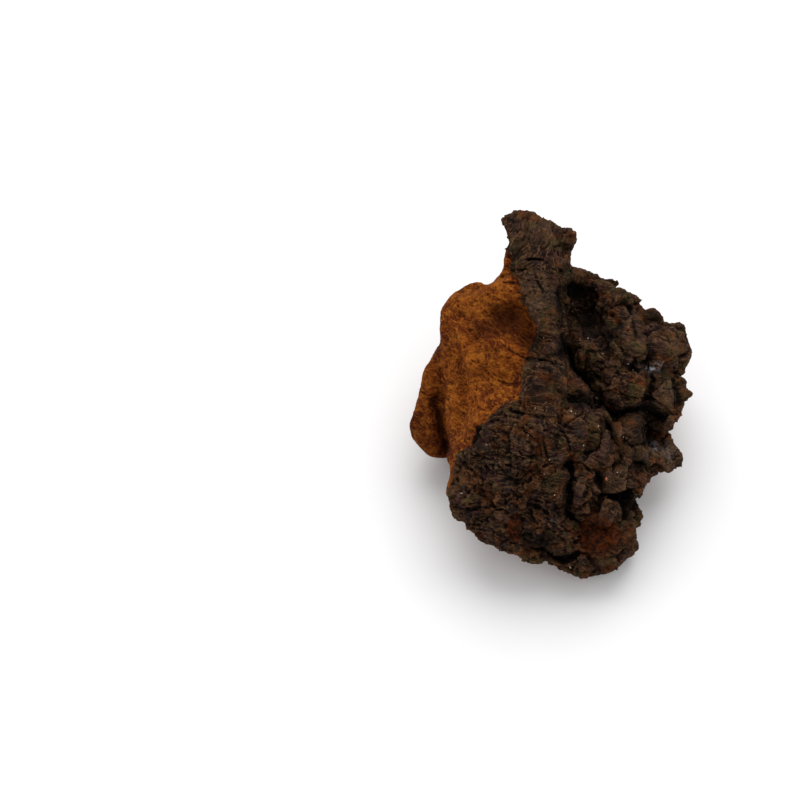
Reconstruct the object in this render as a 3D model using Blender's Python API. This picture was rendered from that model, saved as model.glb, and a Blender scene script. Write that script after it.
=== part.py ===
"""A broken chunk of chaga: black cracked crust over rusty, corky flesh, grown as one piece.

The chunk is drawn face-on and then tipped back to the way it lies. In the drawing X runs to the
right, Y up the face and Z out of it, towards whoever looks down on the chunk.
"""

import math

import bmesh
import bpy
import numpy as np
from mathutils import Matrix, Vector, geometry, noise

MM = 0.001

# The face, tipped back from level by this much, lies as the chunk was found. The cut that it rests
# on is level, this far under the middle of the drawing.
FACE_TILT = math.radians(30)
REST_DEPTH = 16.0

# Skin resolution in millimetres, and the most triangles that the finished solid may have.
SKIN_VOXEL = 0.5
MOST_TRIANGLES = 9400

# The outline of the face, clockwise from the horn's left tip, in millimetres. Each stretch has the
# depth at which its edge lies.
OUTLINE = [
    ("horn", -1.0, [
        (-7.7, 26.1), (-6.5, 26.7), (-5.5, 27.1), (-4.7, 27.6), (-3.7, 27.1), (-2.5, 27.0), (-1.5, 26.2),
        (-0.6, 25.9), (0.3, 25.0), (1.5, 24.7), (3.3, 25.0), (3.6, 23.7), (3.4, 22.2), (3.0, 21.0),
        (2.7, 19.7), (3.0, 18.8)]),
    ("upper right edge", -5.0, [
        (4.3, 18.7), (5.8, 18.2), (7.0, 17.9), (8.1, 16.9), (9.6, 15.9), (11.0, 14.8), (12.3, 14.1),
        (13.3, 13.3)]),
    ("right knobs", -4.0, [
        (14.7, 13.0), (15.9, 12.9), (16.6, 11.7), (17.2, 10.5), (18.8, 10.2), (19.9, 9.8), (20.4, 8.1),
        (21.0, 6.7), (20.6, 4.9), (20.3, 3.6), (19.4, 2.5), (19.7, 1.3), (20.3, 0.0), (20.0, -1.5),
        (19.4, -3.4), (18.2, -4.1), (16.7, -5.2)]),
    ("spike", -6.0, [
        (17.6, -5.8), (18.1, -7.0), (19.1, -8.0), (19.9, -9.0), (19.1, -10.4), (17.6, -11.3),
        (16.1, -11.6), (14.7, -12.4)]),
    ("lower right bulge", -2.0, [
        (13.5, -13.5), (13.3, -14.8), (11.4, -15.9), (12.9, -16.3), (13.5, -17.8), (12.7, -19.0),
        (12.3, -20.3), (12.6, -22.2), (12.1, -23.9), (11.0, -24.7), (9.5, -26.1), (7.7, -26.7)]),
    ("bottom tip", 0.5, [
        (6.1, -27.0), (5.2, -27.6), (4.0, -27.0), (2.5, -26.4), (1.0, -25.6), (-0.6, -24.6)]),
    ("hanging crumb", 1.5, [
        (-1.5, -24.9), (-2.5, -25.2), (-3.4, -24.6), (-4.3, -23.4), (-5.5, -23.4)]),
    ("lower left plate", 3.5, [
        (-7.1, -23.0), (-8.4, -22.1), (-9.9, -21.6), (-11.0, -21.2), (-12.0, -20.0), (-12.9, -18.5),
        (-13.8, -18.4), (-14.8, -17.2), (-15.3, -15.6), (-15.6, -14.1), (-15.1, -12.3), (-14.7, -10.5)]),
    ("left lobe", -6.5, [
        (-15.3, -9.5), (-16.7, -9.5), (-18.2, -8.9), (-19.4, -7.7), (-20.6, -6.2), (-21.0, -4.7),
        (-20.4, -2.7), (-19.9, -0.7), (-19.3, 1.2)]),
    ("left flank", -5.0, [
        (-19.1, 2.8), (-18.1, 4.7), (-17.0, 6.7), (-16.4, 8.1), (-16.4, 10.4), (-16.3, 12.4)]),
    ("shoulder", -3.5, [
        (-15.3, 14.2), (-14.0, 15.6), (-12.3, 16.6), (-10.5, 17.1), (-9.2, 17.0)]),
    ("neck", -1.0, [
        (-8.0, 17.6), (-7.3, 18.4), (-7.0, 19.3), (-7.0, 20.6), (-6.7, 21.6), (-5.8, 22.1), (-6.1, 23.3),
        (-6.8, 24.6)]),
]

# The lumps that the chunk is built up from, in millimetres and degrees: the middle of each in the
# drawing, the depth of its front, its three half widths, how far it is turned in the plane, how far
# its right side and then its top are raised, and how square it is, from 2 for a ball upwards.
LUMPS = [
    # The mass behind the face
    ("back body", (0.5, -3.5), 1.0, (13.5, 17.0, 11.0), (0, 0, 0), 2.2),
    ("upper back", (2.5, 6.0), -6.0, (13.0, 11.5, 9.0), (0, 0, 0), 2.2),
    ("under lobe", (-7.5, 1.0), -5.0, (9.5, 10.5, 8.0), (0, 0, 0), 2.2),
    ("under hollow", (5.0, 14.2), -6.2, (5.4, 4.4, 3.6), (-24, 0, 0), 2.5),
    # The rusty flesh on the left
    ("flesh face", (-9.4, 3.6), 3.4, (6.2, 11.6, 6.0), (8, 20, 0), 2.8),
    ("flesh rib", (-11.4, 5.4), 4.2, (1.8, 6.0, 4.0), (14, 10, 0), 2.5),
    ("flesh hip", (-8.8, -0.9), 5.2, (3.4, 3.2, 4.0), (30, 14, 0), 2.8),
    ("flesh shoulder", (-11.2, 10.8), 1.6, (4.6, 4.2, 5.0), (20, 12, -12), 2.8),
    ("flesh top", (-6.6, 14.4), 3.6, (4.4, 2.6, 5.0), (16, 6, -10), 2.5),
    ("flesh band", (-7.0, 5.4), 5.4, (5.6, 3.4, 4.0), (-12, 12, 0), 2.5),
    ("flesh cheek", (-6.2, 10.0), 2.8, (4.4, 3.4, 4.0), (-10, 10, 0), 2.5),
    ("flesh foot", (-12.2, -4.5), 3.4, (2.7, 6.0, 6.0), (8, 14, 0), 3.0),
    ("lobe", (-17.2, -4.4), -2.0, (3.4, 5.0, 4.5), (-12, 14, 0), 2.5),
    ("lobe neck", (-16.8, 2.4), -1.4, (2.2, 4.6, 3.5), (-14, 20, 0), 2.5),
    # The horn and the ridge that runs down from it
    ("horn plate", (-2.0, 21.9), 1.0, (4.2, 4.4, 2.0), (-14, 0, -8), 4.0),
    ("horn left tip", (-5.6, 25.6), 0.5, (2.2, 1.1, 1.4), (-38, 0, 0), 2.5),
    ("horn right tip", (2.4, 23.3), 0.4, (1.0, 1.6, 1.4), (0, 0, 0), 2.5),
    ("horn root", (-1.8, 18.2), 2.6, (4.2, 3.4, 4.0), (0, 0, 8), 3.0),
    ("neck bump", (-6.1, 20.0), 0.4, (0.9, 2.0, 1.8), (10, 0, 0), 2.5),
    ("ridge top", (-1.4, 14.6), 4.4, (2.9, 4.6, 5.0), (8, -6, -10), 3.0),
    ("ridge middle", (-0.5, 9.6), 6.0, (2.0, 4.6, 5.5), (4, -8, -8), 3.0),
    ("ridge foot", (-0.6, 4.8), 7.2, (2.2, 3.4, 6.0), (16, -8, -8), 3.0),
    # The plate of crust at the lower left
    ("plate", (-2.0, -8.0), 9.4, (11.6, 12.0, 9.5), (25, 4, 2), 2.5),
    ("plate tongue", (-1.4, 1.0), 8.8, (3.4, 3.5, 4.0), (-6, 8, -6), 4.0),
    ("plate left", (-10.4, -9.8), 7.0, (4.4, 4.4, 5.0), (30, 20, 0), 3.0),
    ("plate corner", (-11.2, -15.0), 6.6, (3.6, 3.2, 4.5), (0, 16, 14), 2.6),
    ("plate foot", (-7.0, -18.0), 6.4, (4.8, 3.8, 5.0), (-28, 8, 20), 2.8),
    ("plate middle foot", (-0.8, -17.8), 7.2, (4.2, 4.6, 5.5), (-20, 0, 14), 2.8),
    ("plate crumb", (-2.6, -23.0), 3.4, (1.7, 1.7, 2.2), (0, 0, 0), 2.5),
    ("plate right", (4.8, -5.4), 8.8, (3.8, 5.6, 6.0), (38, -12, 0), 3.4),
    ("block between cracks", (4.9, -14.0), 6.8, (2.2, 4.2, 5.5), (4, 0, 6), 3.4),
    # The bulge at the lower right
    ("red bulge", (8.0, -21.2), 4.0, (4.2, 4.8, 6.5), (15, -12, 16), 2.8),
    ("bottom lump", (3.4, -23.8), 3.8, (3.6, 2.4, 3.6), (-30, 0, 14), 2.5),
    ("notch lump", (11.8, -17.6), 0.4, (1.5, 1.3, 2.4), (0, 0, 0), 2.5),
    ("bulge head", (7.4, -17.2), 5.6, (2.8, 1.8, 4.0), (0, 0, 10), 3.0),
    ("low block", (10.0, -12.6), 4.6, (3.0, 2.5, 5.0), (20, -8, 0), 3.0),
    ("low block right", (13.0, -11.0), 1.6, (1.7, 1.9, 3.6), (30, 0, 0), 2.5),
    ("wedge", (11.2, -5.4), 3.8, (1.7, 2.6, 4.0), (-22, -10, 0), 3.6),
    ("spur", (12.4, -9.0), 3.0, (2.4, 1.6, 4.0), (-20, 0, 0), 3.0),
    ("spike", (17.2, -9.0), -2.8, (2.2, 1.8, 3.0), (-20, 0, 0), 2.5),
    ("spike root", (14.8, -9.4), -0.6, (2.0, 2.2, 4.0), (0, -20, 0), 2.5),
    # The knobs of the right half
    ("right mass", (12.6, 2.4), 0.0, (6.4, 8.2, 8.0), (-10, -6, 0), 2.5),
    ("brown knob", (11.0, 7.8), 3.6, (2.8, 2.6, 3.6), (12, -6, 8), 3.4),
    ("spotted knob", (6.6, 5.2), 2.0, (2.7, 2.1, 3.6), (-30, 10, 0), 3.0),
    ("big knob", (10.4, 0.8), 3.8, (3.2, 3.0, 4.2), (-24, -4, -6), 3.2),
    ("streaked knob", (16.2, -0.6), 1.6, (2.3, 3.6, 4.4), (0, -10, 0), 3.4),
    ("shiny knob", (14.4, 4.2), 1.8, (2.2, 1.3, 3.0), (24, 0, 10), 2.8),
    ("rim knob", (16.4, 7.4), 1.0, (2.4, 2.1, 3.6), (0, 0, 6), 3.2),
    ("outer knob", (18.6, 7.0), -1.6, (1.6, 2.6, 2.6), (10, -14, 0), 3.0),
    ("outer knob low", (18.4, 0.0), -1.8, (1.2, 2.2, 2.4), (0, -14, 0), 2.5),
    ("edge knob", (15.0, 11.2), -1.0, (1.5, 1.2, 2.4), (0, 0, -6), 3.0),
    ("hollow knob", (6.4, 10.2), -4.2, (2.3, 2.2, 3.0), (0, 0, 0), 2.8),
    ("upper knob", (9.8, 12.4), -1.8, (3.0, 1.7, 3.0), (-38, 0, -10), 3.0),
    ("upper lip", (6.0, 15.8), -3.4, (2.6, 1.2, 2.2), (-18, 0, -20), 2.5),
    ("low knob", (8.0, -1.2), 3.0, (1.6, 1.6, 3.5), (0, 0, 0), 2.5),
]

# Cracks and hollows cut into the face, in millimetres: the line, its half width and its depth.
CRACKS = [
    ("great crack, upper run", 0.95, 3.0, [
        (1.3, 13.0), (1.3, 9.6), (1.9, 6.4), (3.2, 4.2), (4.7, 2.2), (6.2, 0.3), (7.8, -1.7)]),
    ("great crack, lower run", 0.85, 2.8, [
        (6.2, 0.3), (7.8, -1.7), (9.2, -3.1), (10.8, -2.6), (13.3, -2.0), (15.2, -3.2), (16.5, -4.6)]),
    ("crescent", 1.2, 1.2, [(1.8, -1.3), (3.2, -0.4), (4.8, -0.6), (6.4, -2.0)]),
    ("left block crack", 0.8, 3.0, [
        (3.0, -8.4), (2.5, -11.1), (2.2, -13.3), (2.2, -16.3), (3.1, -18.2), (4.9, -18.7)]),
    ("notch crack", 0.7, 3.0, [(6.2, -11.1), (7.0, -13.3), (8.1, -15.0), (10.2, -15.4), (13.2, -15.7)]),
    ("side crack", 0.7, 2.6, [(7.3, -3.4), (8.7, -5.5), (9.5, -7.4), (9.6, -9.6)]),
    ("spike crack", 0.9, 1.6, [(13.2, -3.1), (13.3, -5.5), (14.7, -6.7), (16.1, -5.8)]),
    ("lobe groove", 0.8, 2.0, [(-17.0, 0.4), (-16.7, -2.2), (-16.0, -5.2), (-15.1, -9.2)]),
    ("bottom crack", 0.6, 1.6, [(-4.6, -22.2), (-1.2, -22.2), (0.7, -23.4), (2.5, -24.4)]),
    ("hollow crack", 0.7, 2.4, [(10.5, 10.8), (9.0, 9.6), (7.6, 8.6)]),
    ("flesh pit", 1.5, 0.9, [(-8.6, 11.0), (-6.6, 11.2), (-4.8, 10.8)]),
    ("flesh fold", 0.9, 1.2, [(-14.2, 7.4), (-12.8, 3.0), (-12.6, -1.6), (-13.4, -6.0)]),
    ("shoulder dip", 1.2, 1.3, [(-13.8, 12.6), (-12.4, 9.6), (-10.8, 7.4)]),
    ("deep hollow", 2.4, 3.0, [(2.8, 15.6), (4.4, 13.6), (7.4, 13.4)]),
]

# A crack keeps this share of its depth at its two ends, and reaches the whole of it after this share
# of its length.
CRACK_END_DEPTH = 0.35
CRACK_END_LENGTH = 0.11

# What falls short of the outline by less than this is drawn out to it.
OUTLINE_SHORTFALL = 0.45

# A crack or hollow sinks only what faces the viewer. It fades out between these leans of the skin,
# which run from -1, facing away, to 1.
CUT_FROM_LEAN = -0.3
CUT_BY_LEAN = 0.2

# The edge of the crust on the face. The flesh lies to its left, and the crust stands proud of it,
# with a slope of this half width between them.
CRUST_EDGE = [
    (-5.6, 30.0), (-5.8, 21.5), (-4.6, 17.5), (-4.4, 14.5), (-3.2, 11.5), (-2.0, 8.0), (-1.4, 6.0),
    (-3.8, 5.0), (-4.6, 1.5), (-4.4, -0.8), (-8.4, -2.0), (-10.6, -4.0), (-11.6, -7.0), (-14.6, -9.6),
    (-18.0, -10.5), (-18.0, -40.0)]
CRUST_STEP = 0.7
STEP_SLOPE = 0.25

# The crust's edge wanders by this much over this distance. It wraps round the sides until the skin
# leans back this far, which wanders too, and fades out over this much more or less lean.
EDGE_WANDER = 0.5
WANDER_SIZE = 2.9
BACK_LEAN = 0.25
BACK_LEAN_WANDER = 0.25
BACK_LEAN_FADE = 0.1

# The crust breaks into blocks of these sizes. Each block is tilted and stands at its own height, up
# to the height given. A crease between blocks has this share of their height and of their size. The
# blocks' edges drift by this share of their size, in this many waves to a block.
BLOCKS = [("large blocks", 4.6, 1.05), ("small blocks", 2.3, 0.35)]
CREASE_DEPTH = 0.8
CREASE_WIDTH = 0.14
BLOCK_DRIFT = 0.3
DRIFT_WAVES = 1.3

# Scales that give each block a height and a tilt that have nothing to do with each other
HEIGHT_SEED = 5.1
TILT_SEED = 7.3

# Roughness all over, with this size and height in millimetres. The flesh has this share of it.
ROUGH_SIZE = 4.5
ROUGH_HEIGHT = 0.5
FLESH_SHARE = 0.7

# The broken back has this share of the relief of the blocks.
BACK_SHARE = 0.8

# To the right of the drawing's middle the crust grows more broken from here to there. The plate and
# the horn to the left have this share of its relief.
BROKEN_FROM = 2.5
BROKEN_BY = 5.5
PLATE_SHARE = 0.45


def outline_points():
    """The outline as one closed loop of (x, y), and the depth of its edge at each point."""
    points = [point for _, _, stretch in OUTLINE for point in stretch]
    depths = [depth for _, depth, stretch in OUTLINE for _ in stretch]
    return np.array(points), np.array(depths)


def ramp(value, low, high):
    """0 below low and 1 above high, with a straight slope between them."""
    return np.clip((value - low) / (high - low), 0, 1)


def distance_to_line(points, line):
    """How far each (x, y) lies from a line of straight runs, the share along the line of its
    nearest point, and that point."""
    best = np.full(len(points), np.inf)
    share = np.zeros(len(points))
    nearest = np.zeros_like(points)
    line = np.array(line, float)
    runs = np.linalg.norm(np.diff(line, axis=0), axis=1)
    start = np.concatenate([[0.0], np.cumsum(runs)])
    for index, (a, b) in enumerate(zip(line[:-1], line[1:])):
        along = np.clip((points - a) @ (b - a) / max((b - a) @ (b - a), 1e-9), 0, 1)
        foot = a + along[:, None] * (b - a)
        away = np.linalg.norm(points - foot, axis=1)
        nearer = away < best
        best[nearer] = away[nearer]
        share[nearer] = (start[index] + along[nearer] * runs[index]) / start[-1]
        nearest[nearer] = foot[nearer]
    return best, share, nearest


def inside(points, loop):
    """Which (x, y) lie inside a closed loop."""
    found = np.zeros(len(points), bool)
    for (ax, ay), (bx, by) in zip(loop, np.roll(loop, -1, axis=0)):
        crosses = (ay > points[:, 1]) != (by > points[:, 1])
        where = ax + (points[:, 1] - ay) * (bx - ax) / (by - ay if by != ay else 1e-9)
        found ^= crosses & (points[:, 0] < where)
    return found


def face_sheet(spacing=1.1, edge_radius=1.3, sink=0.5, swell=0.9, reach=9.0):
    """The outline as a dished sheet with a round edge. It gives the chunk its outline, and the
    lumps fill it from behind and in front."""
    loop, depths = outline_points()
    low, high = loop.min(axis=0) + spacing / 2, loop.max(axis=0)
    grid = np.stack(np.meshgrid(*(np.arange(a, b, spacing) for a, b in zip(low, high))), -1)
    grid = grid.reshape(-1, 2)
    closed = np.vstack([loop, loop[:1]])
    grid = grid[inside(grid, loop) & (distance_to_line(grid, closed)[0] > spacing / 2)]
    border = [(i, (i + 1) % len(loop)) for i in range(len(loop))]
    flat = [Vector(p) for p in np.vstack([loop, grid])]
    points, _, faces, _, _, _ = geometry.delaunay_2d_cdt(flat, border, [], 1, 1e-6)
    points = np.array([tuple(p) for p in points])
    from_edge = distance_to_line(points, closed)[0]
    # The depth of the edge point that is nearest, eased into those of the points beside it
    away = np.linalg.norm(points[:, None] - loop[None], axis=2) + spacing / 20
    weight = away**-3
    edge_depth = (weight * depths).sum(1) / weight.sum(1)
    rim = 1 - np.clip(from_edge / edge_radius, 0, 1)
    round_edge = edge_radius * np.sqrt(1 - rim**2)
    inward = np.clip(from_edge, 0, reach)
    front = edge_depth + round_edge - sink * inward
    back = edge_depth - round_edge - swell * inward
    mesh = bmesh.new()
    top = [mesh.verts.new((*p, z)) for p, z in zip(points, front)]
    low = [
        mesh.verts.new((*p, z)) if away > 1e-4 else upper
        for p, z, away, upper in zip(points, back, from_edge, top)
    ]
    for face in faces:
        mesh.faces.new([top[i] for i in face])
        if any(low[i] is not top[i] for i in face):
            mesh.faces.new([low[i] for i in reversed(face)])
    return mesh


def add_lump(mesh, middle, front, half, angles, squareness):
    """One lump, a ball squared off, stretched and set at its angles."""
    turn, right_up, top_up = (math.radians(angle) for angle in angles)
    place = (
        Matrix.Translation((*middle, front - half[2])) @ Matrix.Rotation(top_up, 4, "X")
        @ Matrix.Rotation(-right_up, 4, "Y") @ Matrix.Rotation(turn, 4, "Z"))
    ball = bmesh.ops.create_icosphere(mesh, subdivisions=4, radius=1.0)["verts"]
    for vertex in ball:
        size = sum(abs(c) ** squareness for c in vertex.co) ** (1 / squareness)
        vertex.co = place @ Vector([c / size * h for c, h in zip(vertex.co, half)])


def evaluated(obj):
    """The object's mesh with its modifiers applied, as a new mesh."""
    graph = bpy.context.evaluated_depsgraph_get()
    return bpy.data.meshes.new_from_object(obj.evaluated_get(graph), depsgraph=graph)


def coordinates(mesh):
    """A mesh's points and normals as arrays."""
    points = np.empty(len(mesh.vertices) * 3)
    normals = np.empty(len(mesh.vertices) * 3)
    mesh.vertices.foreach_get("co", points)
    mesh.vertices.foreach_get("normal", normals)
    return points.reshape(-1, 3), normals.reshape(-1, 3)


def reskin(chunk, easing):
    """One even skin over everything, eased a little."""
    skin = chunk.modifiers.new("skin", "REMESH")
    skin.mode = "VOXEL"
    skin.voxel_size = SKIN_VOXEL
    ease = chunk.modifiers.new("ease", "SMOOTH")
    ease.factor = easing
    ease.iterations = 2
    chunk.data = evaluated(chunk)
    chunk.modifiers.clear()


def block_out():
    """The sheet and the lumps under one skin."""
    shapes = face_sheet()
    for _, middle, front, half, angles, squareness in LUMPS:
        add_lump(shapes, middle, front, half, angles, squareness)
    mesh = bpy.data.meshes.new("chaga_chunk")
    shapes.to_mesh(mesh)
    shapes.free()
    chunk = bpy.data.objects.new("chaga_chunk", mesh)
    bpy.context.scene.collection.objects.link(chunk)
    reskin(chunk, easing=0.5)
    return chunk


def crust_share(points, normals):
    """1 on the crust and 0 on the flesh. The crust covers the face to the right of its edge and
    wraps round the right side, and the broken back and underside are flesh."""
    edge = np.array([*CRUST_EDGE, (60.0, -40.0), (60.0, 30.0)])
    wander = np.array([noise.fractal(Vector(p) / WANDER_SIZE, 1.0, 2.0, 3) for p in points])
    away = distance_to_line(points[:, :2], CRUST_EDGE)[0]
    on_right = np.where(inside(points[:, :2], edge), away, -away) + EDGE_WANDER * wander
    lean = normals[:, 2] + BACK_LEAN_WANDER * wander + BACK_LEAN
    return ramp(on_right, -STEP_SLOPE, STEP_SLOPE) * ramp(lean, -BACK_LEAN_FADE, BACK_LEAN_FADE)


def block_relief(place, size, height):
    """How far the tilted block that a place is on stands out there. It eases into the next block
    and falls into the crease between the two."""
    scaled = place / size
    # Three stretches of the noise that lie far apart give the drift in the three directions
    drift = [noise.noise(scaled * DRIFT_WAVES + Vector((shift, 0, 0))) for shift in (0, 31, 67)]
    warped = scaled + BLOCK_DRIFT * Vector(drift)
    distances, middles = noise.voronoi(warped)[:2]
    inward = min((distances[1] - distances[0]) / CREASE_WIDTH, 1)
    own, other = (
        0.5 * noise.cell(middle * HEIGHT_SEED)
        + noise.cell_vector(middle * TILT_SEED).dot(warped - middle)
        for middle in middles[:2])
    return height * ((own * (1 + inward) + other * (1 - inward)) / 2 - CREASE_DEPTH * (1 - inward))


def grain(points, normals, crust):
    """How far the blocks and the roughness stand out at each point."""
    out = np.empty(len(points))
    for index, (point, normal, share) in enumerate(zip(points, normals, crust)):
        place = Vector(point)
        broken = PLATE_SHARE + (1 - PLATE_SHARE) * ramp(point[0], BROKEN_FROM, BROKEN_BY)
        blocky = max(share * broken, BACK_SHARE * ramp(-normal[2], 0, 0.5))
        blocks = sum(block_relief(place, size, height) for _, size, height in BLOCKS)
        rough = ROUGH_HEIGHT * noise.fractal(place / ROUGH_SIZE, 0.8, 2.1, 4)
        out[index] = blocky * blocks + (FLESH_SHARE + (1 - FLESH_SHARE) * share) * rough
    return out


def keep_to_outline(points):
    """Brings whatever stands out past the outline, or falls just short of it, to the outline."""
    loop, _ = outline_points()
    away, _, nearest = distance_to_line(points[:, :2], np.vstack([loop, loop[:1]]))
    stray = ~inside(points[:, :2], loop) | (away < OUTLINE_SHORTFALL)
    points[stray, :2] = nearest[stray]


def sculpt(mesh):
    """Raises the crust and its grain, and cuts the cracks and hollows into the face."""
    points, normals = coordinates(mesh)
    crust = crust_share(points, normals)
    out = grain(points, normals, crust) + CRUST_STEP * crust
    moved = points + normals * out[:, None]
    faces_front = ramp(normals[:, 2], CUT_FROM_LEAN, CUT_BY_LEAN)
    for _, half_width, depth, line in CRACKS:
        away, share, _ = distance_to_line(points[:, :2], line)
        from_end = ramp(np.minimum(share, 1 - share), 0, CRACK_END_LENGTH)
        taper = CRACK_END_DEPTH + (1 - CRACK_END_DEPTH) * from_end
        moved[:, 2] -= depth * taper * np.exp(-((away / half_width) ** 2)) * faces_front
    keep_to_outline(moved)
    mesh.vertices.foreach_set("co", moved.ravel())
    mesh.update()


def thin_out(chunk):
    """Fewer triangles, with the shape kept."""
    chunk.data.calc_loop_triangles()
    thin = chunk.modifiers.new("thin out", "DECIMATE")
    thin.ratio = MOST_TRIANGLES / len(chunk.data.loop_triangles)
    thin.use_collapse_triangulate = True
    chunk.data = evaluated(chunk)
    chunk.modifiers.clear()


def keep_outer_skin(shape):
    """Leaves out closed pockets and loose crumbs, which are smaller than the outer skin."""
    unseen = set(shape.verts)
    pieces = []
    while unseen:
        start = next(vertex for vertex in shape.verts if vertex in unseen)
        piece = {start}
        border = [start]
        while border:
            vertex = border.pop()
            fresh = {edge.other_vert(vertex) for edge in vertex.link_edges} - piece
            piece |= fresh
            border.extend(fresh)
        unseen -= piece
        pieces.append(piece)
    outer = max(pieces, key=len)
    bmesh.ops.delete(shape, geom=[v for v in shape.verts if v not in outer], context="VERTS")


def lay_down(chunk):
    """Tips the drawing back to the way the chunk lies, cuts the rest face level and sets the
    origin under the middle."""
    shape = bmesh.new()
    shape.from_mesh(chunk.data)
    shape.transform(Matrix.Rotation(FACE_TILT, 4, "X"))
    bmesh.ops.bisect_plane(
        shape, geom=shape.verts[:] + shape.edges[:] + shape.faces[:], dist=1e-5,
        plane_co=(0, 0, -REST_DEPTH), plane_no=(0, 0, -1), clear_outer=True)
    keep_outer_skin(shape)
    rim = [edge for edge in shape.edges if edge.is_boundary]
    bmesh.ops.holes_fill(shape, edges=rim, sides=0)
    bmesh.ops.triangulate(shape, faces=[f for f in shape.faces if len(f.verts) > 3])
    low = Vector([min(v.co[i] for v in shape.verts) for i in range(3)])
    high = Vector([max(v.co[i] for v in shape.verts) for i in range(3)])
    middle = Vector(((low.x + high.x) / 2, (low.y + high.y) / 2, low.z))
    shape.transform(Matrix.Scale(MM, 4) @ Matrix.Translation(-middle))
    shape.to_mesh(chunk.data)
    shape.free()
    return middle


def chaga_material():
    """The dark brown of weathered crust."""
    material = bpy.data.materials.new("chaga")
    material.use_nodes = True
    shader = material.node_tree.nodes["Principled BSDF"]
    shader.inputs["Base Color"].default_value = (0.045, 0.024, 0.014, 1)
    shader.inputs["Roughness"].default_value = 0.85
    shader.inputs["Metallic"].default_value = 0.0
    return material


def main():
    for obj in list(bpy.data.objects):
        bpy.data.objects.remove(obj)
    chunk = block_out()
    sculpt(chunk.data)
    reskin(chunk, easing=0.25)
    thin_out(chunk)
    middle = lay_down(chunk)
    chunk.data.materials.clear()
    chunk.data.materials.append(chaga_material())
    chunk.data.shade_smooth()
    chunk.data.set_sharp_from_angle(angle=math.radians(50))
    return middle


if __name__ == "__main__":
    main()
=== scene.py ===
"""Looks of a broken chunk of chaga: black cracked crust over rusty, corky flesh.

Places on the chunk are given in millimetres in a drawing of its face: X to the right, Y up the face
and Z out of it. The drawing is tipped back from level, the way the chunk lies.
"""

import math

import bmesh
import bpy
import numpy as np
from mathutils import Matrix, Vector
from mathutils.bvhtree import BVHTree


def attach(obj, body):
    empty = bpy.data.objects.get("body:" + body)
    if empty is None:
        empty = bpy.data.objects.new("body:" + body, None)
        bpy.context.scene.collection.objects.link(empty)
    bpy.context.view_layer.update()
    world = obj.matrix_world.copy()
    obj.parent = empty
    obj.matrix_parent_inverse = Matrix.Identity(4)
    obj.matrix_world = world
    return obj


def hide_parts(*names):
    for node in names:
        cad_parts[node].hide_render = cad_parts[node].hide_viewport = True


MM = 0.001

# The drawing of the face, and where its middle lies in the frame
FACE_TILT = math.radians(30)
FACE_MIDDLE = (0.00004, 0.00016, 0.016)
FACE_UP = Vector((0, math.cos(FACE_TILT), math.sin(FACE_TILT)))
FACE_OUT = Vector((0, -math.sin(FACE_TILT), math.cos(FACE_TILT)))

# The camera looks straight down on the face. The middle of the picture lies left of the chunk.
PHOTO_PIXELS = 794
PIXELS_PER_MM = 6.75
PICTURE_MIDDLE = (-22.8, -0.3)
CAMERA_DISTANCE = 1.0
SENSOR_MM = 36.0

# Resolution of the fine skin, the share of its triangles that is kept where it faces away, and how
# many are left in all
SKIN_VOXEL = 0.2
HIDDEN_KEPT = 0.2
MOST_TRIANGLES = 194000

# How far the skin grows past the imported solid, and how many rounds of evening out tell what stands
# proud
GROWTH = 0.2
FINE_REACH = 5
BROAD_REACH = 50

# Where the crust ends and the flesh begins, from the horn's left side down to the foot of the plate
CRUST_EDGE = [
    (-12.0, 30.0), (-12.0, 22.4), (-6.5, 21.9), (-5.9, 20.6), (-5.8, 18.5), (-4.7, 16.4), (-4.5, 14.4), (-3.5, 12.6), (-2.3, 10.4),
    (-2.5, 8.0), (-3.4, 5.4), (-4.1, 4.4), (-4.5, 2.8), (-4.5, 0.8), (-4.6, -0.8), (-7.0, -1.1),
    (-8.3, -2.3), (-9.5, -3.8), (-10.9, -4.6), (-11.3, -6.0), (-11.8, -7.6), (-13.5, -8.1),
    (-13.9, -9.8), (-14.3, -12.0), (-15.0, -14.4), (-17.0, -15.5), (-22.0, -16.0), (-22.0, -40.0)]
CRUST_STEP = 0.2

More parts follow.
